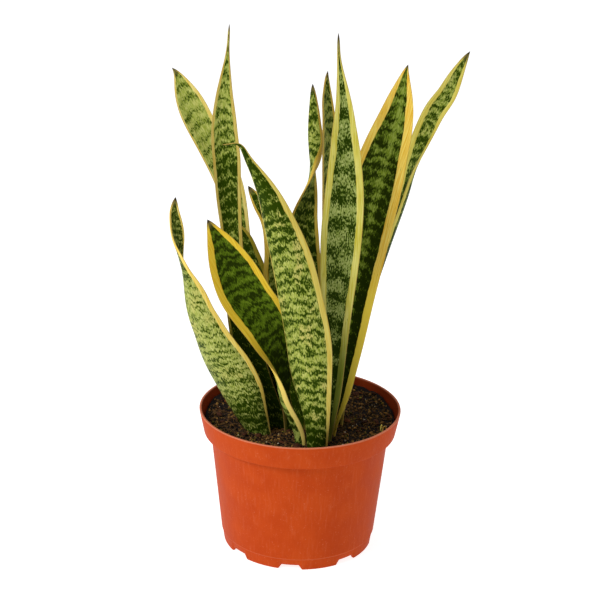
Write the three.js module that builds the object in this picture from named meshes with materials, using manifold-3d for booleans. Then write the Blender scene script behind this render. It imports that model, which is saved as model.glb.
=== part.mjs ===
// A variegated snake plant in a plastic nursery pot: the pot, its peat, and twelve leaves.
// Millimetres, +Z up. The origin is on the pot's axis, on the surface that the pot stands on.
import * as THREE from "three";
import { mergeVertices } from "three/addons/utils/BufferGeometryUtils.js";
import Module from "manifold-3d";

const wasm = await Module();
wasm.setup();

// ---- Driving dimensions ----------------------------------------------------------------

// Pot
const rimDiameter = 152.4; // a six inch pot, outside its rim
const baseDiameter = 114.6; // outside the foot ring
const potHeight = 108;
const wallThickness = 1.8;
const rimBandHeight = 18.5;
const rimBandTaper = 3.6; // how much the band's radius narrows from its top to its bottom
const rimStep = 5; // how far the band stands out from the wall below it
const moldStepHeight = 9; // a fine step round the wall, just above the base
const moldStep = 0.5;
const footHeight = 4.4; // the drainage channel's height above the surface
const footWidth = 1.7; // the foot ring's flat width
const channelWidth = 13; // the raised drainage channel inside the foot ring
const notchCount = 8;
const notchTurn = -5; // degrees from the front
const notchWidth = 18;
const notchHeight = 3.9;
const drainLength = 9; // each drain opening, along the channel
const drainWidth = 6;

// Peat
const peatBelowRim = 12;
const peatGap = 0.3; // between the peat and what it touches
const peatUnevenness = 1.1;

// Leaves
const tallestLeaf = 300; // above the peat
const widestLeaf = 45.5; // laid flat
const leafThickness = 4.2; // along the middle of a leaf, at the peat
const plantedDepth = 24;

const round = 48; // segments round the pot
const steps = 19; // sections along a leaf
const across = 6; // points across each face of a leaf

const rimRadius = rimDiameter / 2;
const baseRadius = baseDiameter / 2;
const bandBottom = potHeight - rimBandHeight;
const peatLevel = potHeight - peatBelowRim;

// ---- Solids ----------------------------------------------------------------------------

// Turns a closed BufferGeometry into a solid.
function solid(geometry) {
  const bare = geometry.clone();
  bare.deleteAttribute("normal");
  bare.deleteAttribute("uv");
  const merged = mergeVertices(bare, 1e-4);
  return new wasm.Manifold(new wasm.Mesh({
    numProp: 3,
    vertProperties: new Float32Array(merged.attributes.position.array),
    triVerts: new Uint32Array(merged.index.array),
  }));
}

function geometryOf(body) {
  const mesh = body.getMesh();
  const geometry = new THREE.BufferGeometry();
  geometry.setAttribute("position", new THREE.BufferAttribute(new Float32Array(mesh.vertProperties), 3));
  geometry.setIndex(new THREE.BufferAttribute(new Uint32Array(mesh.triVerts), 1));
  geometry.computeVertexNormals();
  return geometry;
}

// Spins a profile of [radius, height] points, which starts and ends on the axis, about Z.
function turned(profile) {
  const points = profile.map(([radius, height]) => new THREE.Vector2(radius, height));
  return new THREE.LatheGeometry(points, round).rotateX(Math.PI / 2);
}

// ---- Pot -------------------------------------------------------------------------------

// The wall's outer radius at a height, from the foot to the underside of the rim band.
function wallRadius(height) {
  const top = rimRadius - rimBandTaper - rimStep;
  const slope = (top - baseRadius - moldStep) / bandBottom;
  const step = height > moldStepHeight ? moldStep : 0;
  return baseRadius + slope * height + step;
}

// The inner radius at a height. The shell follows the outside, one wall in.
function innerRadius(height) {
  const bandInner = rimRadius - wallThickness;
  const bandFoot = bandBottom + wallThickness;
  if (height > bandFoot) {
    return bandInner - rimBandTaper * (potHeight - height) / rimBandHeight;
  }
  return wallRadius(height) - wallThickness;
}

const channelInner = baseRadius - footWidth - channelWidth;
const channelSlope = 2.4;
const channelTop = footHeight + wallThickness;

const potProfile = [
  [0, 0],
  [channelInner - channelSlope, 0],
  [channelInner, footHeight],
  [baseRadius - footWidth - 1.4, footHeight],
  [baseRadius - footWidth - 0.8, 0],
  [baseRadius - 0.8, 0],
  [baseRadius - 0.1, 1.4],
  [wallRadius(moldStepHeight), moldStepHeight - 0.4],
  [wallRadius(moldStepHeight + 0.5), moldStepHeight + 0.5],
  [wallRadius(bandBottom - 3), bandBottom - 3],
  [wallRadius(bandBottom) + 0.6, bandBottom - 0.8],
  [rimRadius - rimBandTaper - 1.2, bandBottom + 0.2],
  [rimRadius - rimBandTaper, bandBottom + 1.6],
  [rimRadius - 0.2, potHeight - 1],
  [rimRadius - 0.6, potHeight - 0.2],
  [rimRadius - 1.1, potHeight],
  [rimRadius - wallThickness - 0.2, potHeight - 0.3],
  [innerRadius(potHeight - 1.2), potHeight - 1.2],
  [innerRadius(bandBottom + wallThickness + 0.2), bandBottom + wallThickness + 0.2],
  [innerRadius(bandBottom - 0.6), bandBottom - 0.6],
  [innerRadius(channelTop + 2), channelTop + 2],
  [innerRadius(channelTop) - 1.4, channelTop],
  [channelInner - 0.6, channelTop],
  [channelInner - channelSlope - 0.6, wallThickness],
  [0, wallThickness],
];

// A notch through the foot ring, with sloping cheeks, that leads to a drain in the channel.
function drainCut(angle) {
  const cheek = 2.6;
  const half = notchWidth / 2;
  const outline = new THREE.Shape([
    new THREE.Vector2(-half, -1),
    new THREE.Vector2(half, -1),
    new THREE.Vector2(half - cheek, notchHeight),
    new THREE.Vector2(cheek - half, notchHeight),
  ]);
  const reach = channelWidth / 2 + footWidth;
  const notch = new THREE.ExtrudeGeometry(outline, { depth: reach + 4, bevelEnabled: false });
  notch.rotateX(Math.PI / 2);
  notch.translate(0, -baseRadius + reach, 0);
  const drain = new THREE.BoxGeometry(drainLength, drainWidth, 3 * wallThickness);
  drain.translate(0, -baseRadius + reach + 1, footHeight + wallThickness / 2);
  const cut = solid(notch).add(solid(drain));
  return cut.rotate([0, 0, angle]);
}

let potSolid = solid(turned(potProfile));
for (let n = 0; n < notchCount; n += 1) {
  potSolid = potSolid.subtract(drainCut(notchTurn + n * 360 / notchCount));
}

// ---- Leaves ----------------------------------------------------------------------------

// Each leaf is a cupped blade that follows its midrib. The rows run from the planted end to
// the tip: x, y, height above the peat, flat width, the way its inner face looks (degrees
// round from the front, towards +X), and how far its section curls round (degrees). The
// whole table is scaled to the tallest and the widest leaf.
const leaves = {
  front_leaf: [
    [12, -43, -plantedDepth, 16, 165, 100],
    [12, -51, 5, 18, 165, 100],
    [10, -54, 31, 25, 165, 100],
    [6, -58, 57, 34, 165, 95],
    [3, -62, 86, 37, 165, 90],
    [-3, -67, 119, 35, 165, 85],
    [-9, -70, 147, 32, 165, 80],
    [-16, -73, 170, 27, 163, 80],
    [-25, -75, 196, 17, 162, 75],
    [-36, -76, 217, 7, 160, 70],
    [-42, -76, 227, 3.4, 160, 70],
    [-45, -77, 231, 2.0, 160, 70],
    [-49, -77, 230, 1.6, 160, 70],
    [-55, -77, 230, 1.2, 160, 70],
  ],
  front_left_leaf: [
    [-4, -38, -plantedDepth, 15, 110, 150],
    [-1.5, -38, 0, 16, 108, 150],
    [-13, -37, 32, 21, 90, 140],
    [-18, -37, 63, 32, 55, 110],
    [-26, -42, 92, 37, 20, 85],
    [-41, -46, 117, 38, 12, 75],
    [-51, -49, 139, 32, 10, 70],
    [-58, -53, 156, 20, 8, 65],
    [-63, -56, 167, 8, 5, 65],
    [-66, -57, 173, 1.2, 5, 65],
  ],
  outer_left_leaf: [
    [-28, -23, -plantedDepth, 20, 150, 120],
    [-32.5, -25, -2, 24.5, 150, 115],
    [-41.5, -26, 18, 37, 150, 110],
    [-50.5, -28, 38, 45.5, 150, 100],
    [-59.5, -31, 58, 44, 150, 90],
    [-67, -35, 78, 34, 150, 80],
    [-74.5, -38, 98, 27.5, 148, 80],
    [-79, -40, 116, 21, 142, 85],
    [-85, -44, 137, 14, 108, 100],
    [-89, -47, 157, 15, 60, 120],
    [-90, -50, 175, 10, 40, 120],
    [-88, -52, 187, 1.2, 30, 100],
  ],
  tall_left_leaf: [
    [-18, -9, -plantedDepth, 18, 8, 110],
    [-21, -11, 1, 24, 8, 110],
    [-34, -10, 39, 26, 5, 100],
    [-43, -10, 77, 23, 5, 90],
    [-48, -9, 109, 19, 0, 90],
    [-51, -6, 140, 16, 0, 85],
    [-54, -2, 171, 19, 0, 80],
    [-56, 1, 203, 21, 0, 70],
    [-58, 4, 226, 19, 0, 65],
    [-58, 5, 246, 13, 0, 60],
    [-57, 7, 263, 7, 0, 60],
    [-56, 8, 277, 2.6, 0, 60],
    [-55, 10, 296, 1.2, 0, 60],
  ],
  upper_left_leaf: [
    [-24, 11, -plantedDepth, 15, 0, 110],
    [-28, 11, 2, 18, 0, 100],
    [-40, 19, 68, 20, 0, 85],
    [-49, 31, 136, 20, 0, 75],
    [-55, 37, 171, 21, 0, 65],
    [-66, 43, 196, 23, 0, 60],
    [-77, 47, 215, 23, 0, 58],
    [-86, 51, 232, 21, 0, 55],
    [-92, 54, 244, 13, 0, 55],
    [-97, 56, 253, 4, 0, 60],
    [-100, 57, 256, 1.2, 0, 60],
  ],
  middle_left_leaf: [
    [-8, 5, -plantedDepth, 15, -10, 100],
    [-9, 5, 6, 20, -10, 100],
    [-15, 6, 44, 28, -8, 85],
    [-27, 9, 83, 29, -8, 80],
    [-35, 11, 106, 26, -5, 70],
    [-41, 13, 125, 21, -5, 65],
    [-46, 15, 140, 15, -5, 65],
    [-51, 16, 150, 5, -5, 65],
    [-53, 18, 157, 1.2, -5, 65],
  ],
  short_leaf: [
    [-4, -19, -plantedDepth, 14, 5, 110],
    [-4, -19, 6, 18, 5, 100],
    [-7, -21, 60, 28, 5, 85],
    [-11, -22, 98, 32, 5, 80],
    [-15, -22, 124, 29, 5, 75],
    [-18, -21, 142, 22, 5, 75],
    [-25, -20, 162, 12, 5, 70],
    [-33, -19, 176, 9, 5, 70],
    [-38, -18, 184, 4, 5, 70],
    [-40, -18, 187, 1.2, 5, 70],
  ],
  back_left_leaf: [
    [7, -3, -plantedDepth, 14, 20, 110],
    [7, -3, 6, 17, 20, 100],
    [3, -2, 54, 28, 20, 90],
    [-1, 0, 100, 33, 22, 80],
    [-3, 1, 133, 31, 24, 78],
    [-2, 3, 157, 25, 28, 75],
    [2, 5, 177, 17, 45, 80],
    [5, 6, 195, 13, 95, 95],
    [7, 8, 210, 14, 150, 80],
    [6, 8, 226, 12, 160, 75],
    [5, 10, 242, 7, 165, 70],
    [4, 11, 255, 1.2, 165, 70],
  ],
  back_leaf: [
    [19, 15, -plantedDepth, 14, 20, 110],
    [19, 14, 6, 18, 25, 100],
    [19, 15, 59, 24, 35, 90],
    [19, 18, 107, 26, 45, 85],
    [18, 21, 147, 25, 50, 80],
    [17, 24, 174, 23, 50, 80],
    [16, 27, 201, 20, 50, 75],
    [15, 30, 225, 15, 48, 70],
    [14, 32, 241, 11, 45, 65],
    [14, 34, 252, 5, 40, 65],
    [15, 36, 260, 1.2, 40, 65],
  ],
  tall_right_leaf: [
    [15, -32, -plantedDepth, 14, -8, 110],
    [17, -33, 5, 17, -8, 100],
    [21, -36, 38, 19, -6, 90],
    [23, -40, 76, 21, -4, 80],
    [24, -43, 106, 24, -2, 75],
    [25, -46, 136, 28, 0, 70],
    [26, -47, 164, 30, 0, 65],
    [27, -48, 190, 28, 0, 60],
    [27, -49, 211, 24, 0, 60],
    [26, -49, 233, 18, 0, 57],
    [25, -49, 252, 12, 0, 60],
    [23, -48, 268, 7, 0, 70],
    [21, -48, 282, 3.0, 0, 80],
    [20, -47, 300, 1.2, 0, 60],
  ],
  broad_right_leaf: [
    [19, -18, -plantedDepth, 22, -20, 150],
    [18.5, -20, 0, 27, -20, 150],
    [24, -21, 33, 34, -16, 125],
    [29, -23, 72, 38, -10, 105],
    [34, -24, 111, 40, -6, 88],
    [40.5, -25, 149, 41, -4, 78],
    [46.5, -24, 181, 41, 0, 70],
    [54, -23, 212, 35, 0, 65],
    [61, -21, 236, 27, 0, 60],
    [65, -20, 256, 16, 0, 60],
    [67, -19, 268, 6, 0, 60],
    [69, -18, 275, 1.2, 0, 60],
  ],
  outer_right_leaf: [
    [27, -4, -plantedDepth, 14, -20, 120],
    [28, -4, 6, 16, -28, 120],
    [38, 0, 59, 23, -58, 115],
    [53.5, 7, 109, 26, -74, 110],
    [65.5, 12, 146, 26, -80, 110],
    [75, 16, 176, 25, -80, 105],
    [80, 19, 198, 22, -66, 98],
    [86, 21, 216, 19, -42, 88],
    [92, 24, 233, 17, -16, 75],
    [101, 27, 247, 15, -8, 65],
    [107, 31, 259, 11, -4, 60],
    [113, 35, 270, 5, 0, 60],
    [117, 37, 276, 1.2, 0, 60],
  ],
};

const allRows = Object.values(leaves).flat();
const rise = tallestLeaf / Math.max(...allRows.map((row) => row[2]));
const broad = widestLeaf / Math.max(...allRows.map((row) => row[3]));

// Smooths a column of values against distance: a cubic between each pair of rows, with
// slopes limited so that no stretch overshoots its two rows.
function smoothed(places, values) {
  const last = places.length - 1;
  const secants = values.slice(1).map((value, n) => (value - values[n]) / (places[n + 1] - places[n]));
  const slopes = values.map((_, n) => {
    if (n === 0 || n === last) {
      return secants[n === 0 ? 0 : last - 1];
    }
    const before = secants[n - 1];
    const after = secants[n];
    if (before * after <= 0) {
      return 0;
    }
    const limit = 3 * Math.min(Math.abs(before), Math.abs(after));
    return Math.sign(before) * Math.min(Math.abs(before + after) / 2, limit);
  });
  return (place) => {
    let n = 0;
    while (n < last - 1 && place > places[n + 1]) {
      n += 1;
    }
    const span = places[n + 1] - places[n];
    const t = (place - places[n]) / span;
    const rise = t * t * (3 - 2 * t);
    return values[n] * (1 - rise) + values[n + 1] * rise
      + span * (slopes[n] * t * (1 - t) ** 2 - slopes[n + 1] * (1 - t) * t * t);
  };
}

// One leaf as a closed solid. Each section is an arc as long as the leaf is wide there, thick
// at the midrib and thin at its edges. grow adds to every side, for the hole it leaves.
function blade(rows, grow) {
  const midrib = rows.map(([x, y, height]) => new THREE.Vector3(
    x * broad,
    y * broad,
    peatLevel + (height < 0 ? height : height * rise),
  ));
  const places = [0];
  for (let n = 1; n < midrib.length; n += 1) {
    places.push(places[n - 1] + midrib[n].distanceTo(midrib[n - 1]));
  }
  const length = places[places.length - 1];
  const column = (pick) => smoothed(places, rows.map((row, n) => pick(row, midrib[n])));
  const place = [0, 1, 2].map((axis) => column((row, point) => point.getComponent(axis)));
  const width = column((row) => row[3] * broad);
  const facing = column((row) => THREE.MathUtils.degToRad(row[4]));
  const curl = column((row) => THREE.MathUtils.degToRad(row[5]));
  const pointAt = (s) => new THREE.Vector3(place[0](s), place[1](s), place[2](s));

  const positions = [];
  const index = [];
  const ring = 2 * across;
  for (let step = 0; step <= steps; step += 1) {
    const s = length * (1 - (1 - step / (steps + 1)) ** 1.35);
    const along = pointAt(Math.min(s + 1, length)).sub(pointAt(Math.max(s - 1, 0))).normalize();
    const inward = new THREE.Vector3(Math.sin(facing(s)), -Math.cos(facing(s)), 0);
    inward.addScaledVector(along, -inward.dot(along)).normalize();
    const side = new THREE.Vector3().crossVectors(along, inward);
    const middle = pointAt(s).addScaledVector(along, step === 0 ? -grow : 0);
    const share = s / length;
    const thick = Math.min(leafThickness * (1 - 0.62 * share ** 0.7), 0.8 * width(s));
    const radius = width(s) / curl(s);
    for (let n = 0; n < ring; n += 1) {
      const inner = n >= across;
      const u = inner ? 1 - 2 * (n - across) / (across - 1) : 2 * n / (across - 1) - 1;
      const angle = u * (curl(s) / 2 + grow / radius);
      const half = thick / 2 * (1 - 0.6 * u * u) + grow;
      const reach = radius + (inner ? -half : half);
      const point = middle.clone()
        .addScaledVector(side, reach * Math.sin(angle))
        .addScaledVector(inward, radius - reach * Math.cos(angle));
      positions.push(point.x, point.y, point.z);
    }
  }
  const foot = positions.length / 3;
  const base = pointAt(0).addScaledVector(pointAt(1).sub(pointAt(0)).normalize(), -grow);
  const end = pointAt(length);
  positions.push(base.x, base.y, base.z, end.x, end.y, end.z);
  for (let n = 0; n < ring; n += 1) {
    const next = (n + 1) % ring;
    index.push(foot, n, next);
    index.push(foot + 1, steps * ring + next, steps * ring + n);
    for (let step = 0; step < steps; step += 1) {
      const low = step * ring;
      const high = low + ring;
      index.push(low + n, high + next, low + next);
      index.push(low + n, high + n, high + next);
    }
  }
  const geometry = new THREE.BufferGeometry();
  geometry.setAttribute("position", new THREE.BufferAttribute(new Float32Array(positions), 3));
  geometry.setIndex(index);
  return geometry;
}

// ---- Peat ------------------------------------------------------------------------------

// Fills the pot to its level, one gap in from the shell, with a slightly uneven top.
const peatTop = [0, 0.22, 0.42, 0.62, 0.8, 0.93];
const peatRadius = innerRadius(peatLevel - 1) - peatGap;
const peatStep = bandBottom + wallThickness + 0.4;
const peatProfile = [
  [0, wallThickness + peatGap],
  [channelInner - channelSlope - 0.9, wallThickness + peatGap],
  [channelInner - 0.9, channelTop + peatGap],
  [innerRadius(channelTop) - 1.9, channelTop + peatGap],
  [innerRadius(channelTop + 2.4) - peatGap, channelTop + 2.4],
  [innerRadius(bandBottom - 0.3) - peatGap, bandBottom - 0.3],
  [innerRadius(peatStep) - peatGap - 0.5, peatStep],
  [peatRadius, peatLevel - 1],
  ...peatTop.toReversed().map((share) => [share * peatRadius, peatLevel]),
];

function peatGeometry() {
  const geometry = turned(peatProfile);
  const position = geometry.attributes.position;
  for (let n = 0; n < position.count; n += 1) {
    if (position.getZ(n) > peatLevel - 0.5) {
      const x = position.getX(n);
      const y = position.getY(n);
      const swell = Math.sin(x / 11 + 0.6) * Math.cos(y / 9) + 0.6 * Math.sin((x + 2 * y) / 17);
      position.setZ(n, peatLevel + peatUnevenness * swell / 1.6);
    }
  }
  return geometry;
}

let peatSolid = solid(peatGeometry());
for (const rows of Object.values(leaves)) {
  peatSolid = peatSolid.subtract(solid(blade(rows, peatGap)));
}

// ---- The part --------------------------------------------------------------------------

const terracottaPlastic = new THREE.MeshStandardMaterial({ color: 0xcf5a30, roughness: 0.45, metalness: 0 });
const peat = new THREE.MeshStandardMaterial({ color: 0x2b1a12, roughness: 1, metalness: 0 });
const leafGreen = new THREE.MeshStandardMaterial({ color: 0x5f7a34, roughness: 0.42, metalness: 0 });

const plant = new THREE.Group();

function addMesh(name, geometry, material) {
  const mesh = new THREE.Mesh(geometry, material);
  mesh.name = name;
  plant.add(mesh);
}

addMesh("pot", geometryOf(potSolid), terracottaPlastic);
addMesh("peat", geometryOf(peatSolid), peat);
for (const [name, rows] of Object.entries(leaves)) {
  addMesh(name, blade(rows, 0), leafGreen);
}

export default plant;
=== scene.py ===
import math
import bpy
import numpy as np
from mathutils import Matrix, Vector


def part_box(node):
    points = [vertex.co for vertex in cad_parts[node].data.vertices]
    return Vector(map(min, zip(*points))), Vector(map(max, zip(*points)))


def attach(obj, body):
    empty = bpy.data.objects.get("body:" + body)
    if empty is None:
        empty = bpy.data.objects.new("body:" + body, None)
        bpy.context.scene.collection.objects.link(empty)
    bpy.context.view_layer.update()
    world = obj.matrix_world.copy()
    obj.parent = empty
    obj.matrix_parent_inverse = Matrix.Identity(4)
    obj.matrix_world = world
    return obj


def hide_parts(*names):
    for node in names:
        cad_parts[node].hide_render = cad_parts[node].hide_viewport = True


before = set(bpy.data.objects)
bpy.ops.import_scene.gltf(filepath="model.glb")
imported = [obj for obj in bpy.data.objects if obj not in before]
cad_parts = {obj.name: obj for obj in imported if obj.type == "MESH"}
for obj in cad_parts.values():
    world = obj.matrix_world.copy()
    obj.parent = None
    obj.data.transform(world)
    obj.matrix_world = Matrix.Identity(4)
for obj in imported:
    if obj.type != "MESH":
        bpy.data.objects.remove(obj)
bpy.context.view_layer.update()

# ---- Camera ----------------------------------------------------------------------------
# A portrait lens a metre in front of the plant and half a metre above it, so that the
# whole rim of the pot shows as an open ring. It leans by about a degree.
camera_place = (0.0, -1.0057, 0.5411)  # metres
camera_down = math.radians(19.12)
camera_left = math.radians(0.10)
camera_lean = math.radians(1.19)

camera_data = bpy.data.cameras.new("camera")
camera_data.lens = 86.72  # millimetres, as is the sensor
camera_data.sensor_width = 36
camera_data.clip_end = 60
camera = bpy.data.objects.new("camera", camera_data)
camera.matrix_world = (
    Matrix.Translation(camera_place)
    @ Matrix.Rotation(camera_left, 4, "Z")
    @ Matrix.Rotation(math.pi / 2 - camera_down, 4, "X")
    @ Matrix.Rotation(camera_lean, 4, "Z")
)
bpy.context.scene.collection.objects.link(camera)
bpy.context.scene.camera = camera


# ---- Leaves ----------------------------------------------------------------------------
# Twelve leaves of a variegated snake plant: stiff, thick, cupped blades that grow out of the
# peat, each cross-banded in dark green between two yellow margins, and ended by a dry spine.
# Each follows the sections of its CAD solid, finer, rounder at its edges and smoother.
millimetre = 0.001
face_points = 24  # steps across one face of a leaf
steps_between = 12  # steps along a leaf between two of its CAD sections
cad_across = 6  # points of a CAD section on one face
planted = 24  # millimetres of a leaf under the peat
edge_power = 10  # the higher, the squarer a leaf's edges
flute_depth = 0.16 * millimetre
flute_turn = 9  # radians of the flutes' wave from the midrib to a margin
flute_width = 30 * millimetre  # a leaf narrower than this has shallower flutes


def linear(code):
    """An sRGB hex colour as linear red, green, blue and alpha: the sRGB curve, undone."""
    part = np.array([int(code[n:n + 2], 16) for n in (1, 3, 5)]) / 255
    part = np.where(part <= 0.04045, part / 12.92, ((part + 0.055) / 1.055) ** 2.4)
    return (*part, 1.0)


def add(tree, kind, settings, links):
    """Adds one shader node. settings are its own properties; links gives its sockets, by name
    or number, a value or another node (its first output) or an output."""
    made = tree.nodes.new("ShaderNode" + kind)
    for name, value in settings.items():
        setattr(made, name, value)
    for name, value in links.items():
        socket = made.inputs[name]
        if isinstance(value, bpy.types.Node):
            tree.links.new(value.outputs[0], socket)
        elif isinstance(value, bpy.types.NodeSocket):
            tree.links.new(value, socket)
        else:
            socket.default_value = value
    return made


def material(name):
    """A new material with nothing in its node tree yet, and that node tree."""
    made = bpy.data.materials.new(name)
    made.use_nodes = True
    made.node_tree.nodes.clear()
    return made, made.node_tree


def piece(name, points, faces, attributes, skin, replaces=()):
    """A mesh of points and faces, smooth, with its point attributes and material. It rides on
    the root and takes the place of the CAD nodes in replaces."""
    mesh = bpy.data.meshes.new(name)
    mesh.from_pydata(points.reshape(-1, 3), [], faces)
    for label, values in attributes.items():
        values = np.asarray(values, np.float32)
        kind, field = ("FLOAT", "value") if values.ndim == 1 else ("FLOAT_VECTOR", "vector")
        mesh.attributes.new(label, kind, "POINT").data.foreach_set(field, values.ravel())
    mesh.shade_smooth()
    mesh.materials.append(skin)
    made = bpy.data.objects.new(name, mesh)
    bpy.context.scene.collection.objects.link(made)
    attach(made, "root")
    if replaces:
        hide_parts(*replaces)
    return made


def spline(values, at):
    """A natural cubic through rows of values at whole numbers: on each step the straight
    line, plus a cubic from the second derivatives, which are equal where two steps meet."""
    count = len(values)
    flat = values.reshape(count, -1)
    system = np.eye(count) * 4 + np.eye(count, k=1) + np.eye(count, k=-1)
    system[0] = np.eye(count)[0]
    system[-1] = np.eye(count)[-1]
    bend = np.zeros_like(flat)
    bend[1:-1] = 6 * (flat[2:] - 2 * flat[1:-1] + flat[:-2])
    bend = np.linalg.solve(system, bend)
    low = np.clip(np.floor(at).astype(int), 0, count - 2)
    after = (at - low)[:, None]
    before = 1 - after
    made = before * flat[low] + after * flat[low + 1]
    made += ((before ** 3 - before) * bend[low] + (after ** 3 - after) * bend[low + 1]) / 6
    return made.reshape(len(at), *values.shape[1:])


def sections(node):
    """The rings of a leaf's CAD node from the planted end to the tip, each as its two faces:
    rings x 2 faces x points across, outer face first, both from the same margin. A ring is
    all the points as many edges from the pole at the leaf's end."""
    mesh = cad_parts[node].data
    soup = np.empty(len(mesh.vertices) * 3)
    mesh.vertices.foreach_get("co", soup)
    points, merged = np.unique(soup.reshape(-1, 3).round(7), axis=0, return_inverse=True)
    corners = np.empty(len(mesh.loops), int)
    mesh.loops.foreach_get("vertex_index", corners)
    triangles = merged.ravel()[corners].reshape(-1, 3)
    near = np.zeros((len(points), len(points)), bool)
    near[triangles, np.roll(triangles, 1, 1)] = True
    near |= near.T
    around = 2 * cad_across
    poles = np.flatnonzero(near.sum(1) == around)
    pole = poles[points[poles, 2].argmin()]
    level = np.where(np.arange(len(points)) == pole, 0, -1)
    while (level < 0).any():
        fresh = near[level == level.max()].any(0) & (level < 0)
        level[fresh] = level.max() + 1

    spread = triangles[(triangles == pole).any(1)]
    turn = (spread == pole).argmax(1)
    first = spread[np.arange(around), (turn + 1) % 3]
    second = spread[np.arange(around), (turn + 2) % 3]
    order = [first[0]]
    while len(order) < around:
        order.append(second[first == order[-1]][0])
    rings = [points[order]]
    for step in range(2, level.max()):
        members = np.flatnonzero(level == step)
        turns = near[np.ix_(members, order)] @ np.exp(2j * np.pi * np.arange(around) / around)
        members = members[np.argsort(np.angle(turns) % (2 * np.pi))]
        shifts = [np.roll(members, -n) for n in range(around)]
        order = min(shifts, key=lambda ring: ((points[ring] - rings[-1]) ** 2).sum())
        rings.append(points[order])
    end = points[level == level.max()][0]
    rings = np.array(rings)

    sides = np.linalg.norm(np.roll(rings, -1, 1) - rings, axis=2).mean(0)
    margin = (sides + np.roll(sides, -cad_across))[:cad_across].argmin()
    rings = np.roll(rings, -margin - 1, 1)
    faces = np.stack([rings[:, :cad_across], rings[:, :cad_across - 1:-1]], 1)
    if points[pole, 2] > end[2]:
        faces = faces[::-1, :, ::-1]
        end = points[pole]
    midrib = slice(cad_across // 2 - 1, cad_across // 2 + 1)
    bulge = faces[:, :, midrib].mean((1, 2)) - faces[:, :, [0, -1]].mean((1, 2))
    outward = faces[:, 0].mean(1) - faces[:, 1].mean(1)
    if (bulge * outward).sum() < 0:
        faces = faces[:, ::-1, ::-1]
    return np.concatenate([faces, np.broadcast_to(end, (1, 2, cad_across, 3))])


def leaf_shape(node):
    """A leaf as a closed surface of two parameters, the place along it and the turn round its
    section. The middle sheet is the mean of the CAD faces, splined both ways. Half the
    leaf's thickness times an edge curve, the root of 1 less the tenth power of the place
    across, stands off it on both faces. Shallow flutes, a cosine of the place across, run
    the length of both faces. With the surface come two rows of values for each point:
    place is millimetres right of the midrib, millimetres from the planted end, and 1 on
    the outer face or -1 on the inner; reach is millimetres from the nearer margin and from
    the tip, and the place across, -1 at the left margin and 1 at the right."""
    faces = sections(node)
    last = len(faces) - 1
    along = np.linspace(0, last, last * steps_between + 1)
    across = -np.cos(np.pi * np.arange(face_points + 1) / face_points)
    middle = faces.mean(1)
    thickness = np.linalg.norm(faces[:, 0] - faces[:, 1], axis=2)
    outward = faces[:, 0].mean(1) - faces[:, 1].mean(1)

    def dense(values):
        """Splines a table of sections x points across to the leaf's own grid."""
        there = spline(values, along)
        return spline(np.moveaxis(there, 1, 0), (across + 1) * (cad_across - 1) / 2).swapaxes(0, 1)

    sheet = dense(middle)
    normal = np.cross(np.gradient(sheet, axis=0), np.gradient(sheet, axis=1))
    normal[-1] = normal[-2]
    normal /= np.linalg.norm(normal, axis=2, keepdims=True)
    facing = np.sign((normal[:, face_points // 2] * spline(outward, along)).sum(1).sum())
    normal *= facing
    half = np.maximum(dense(thickness[..., None])[..., 0], 0) / 2
    edge = np.sqrt(1 - across ** edge_power)
    half *= edge
    width = np.linalg.norm(np.diff(sheet, axis=1), axis=2).sum(1)
    distance = np.linalg.norm(np.diff(sheet[:, face_points // 2], axis=0), axis=1)
    distance = np.concatenate([[0], distance.cumsum()])
    flute = flute_depth * np.cos(across * flute_turn) * np.clip(width / flute_width, 0, 1)[:, None]
    half = np.maximum(half + flute * edge, 0)

    skin = np.concatenate([
        (sheet + normal * half[..., None])[:, :-1],
        (sheet - normal * half[..., None])[:, :0:-1],
    ], 1)
    rightward = np.sign((sheet[:, -1, 0] - sheet[:, 0, 0]).sum())
    turn = rightward * np.concatenate([across[:-1], across[:0:-1]])
    side = np.concatenate([np.ones(face_points), -np.ones(face_points)])
    place = np.stack([
        turn * width[:, None] / 2 / millimetre,
        np.broadcast_to(distance[:, None] / millimetre, skin.shape[:2]),
        np.broadcast_to(side, skin.shape[:2]),
    ], 2)
    reach = np.stack([
        (1 - abs(turn)) * width[:, None] / 2 / millimetre,
        np.broadcast_to((distance[-1] - distance[:, None]) / millimetre, skin.shape[:2]),
        np.broadcast_to(turn, skin.shape[:2]),
    ], 2)
    return skin[:-1], sheet[0].mean(0), sheet[-1, 0], place[:-1], reach[:-1], facing


def closed_rings(rings, start, end, clockwise):
    """The points and faces of rings joined side by side, with a pole at each end. Faces turn
    the other way round if clockwise."""
    count, around = rings.shape[:2]
    place = np.arange(count * around).reshape(count, around)
    beside = np.roll(place, -1, 1)
    quads = np.stack([place[:-1], beside[:-1], beside[1:], place[1:]], 2).reshape(-1, 4)
    low = np.stack([beside[0], place[0], np.full(around, count * around)], 1)
    high = np.stack([place[-1], beside[-1], np.full(around, count * around + 1)], 1)
    faces = quads.tolist() + low.tolist() + high.tolist()
    if clockwise:
        faces = [face[::-1] for face in faces]
    return np.concatenate([rings.reshape(-1, 3), [start], [end]]), faces


def layered(tree, colour, layers):
    """Lays colours over a colour, each as its value goes from low to high, up to its most."""
    for value, low, high, most, over in layers:
        amount = add(tree, "MapRange", {"interpolation_type": "SMOOTHSTEP"}, {
            "Value": value, "From Min": low, "From Max": high, "To Max": most,
        })
        colour = add(tree, "MixRGB", {}, {"Fac": amount, "Color1": colour, "Color2": over})
    return colour


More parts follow.
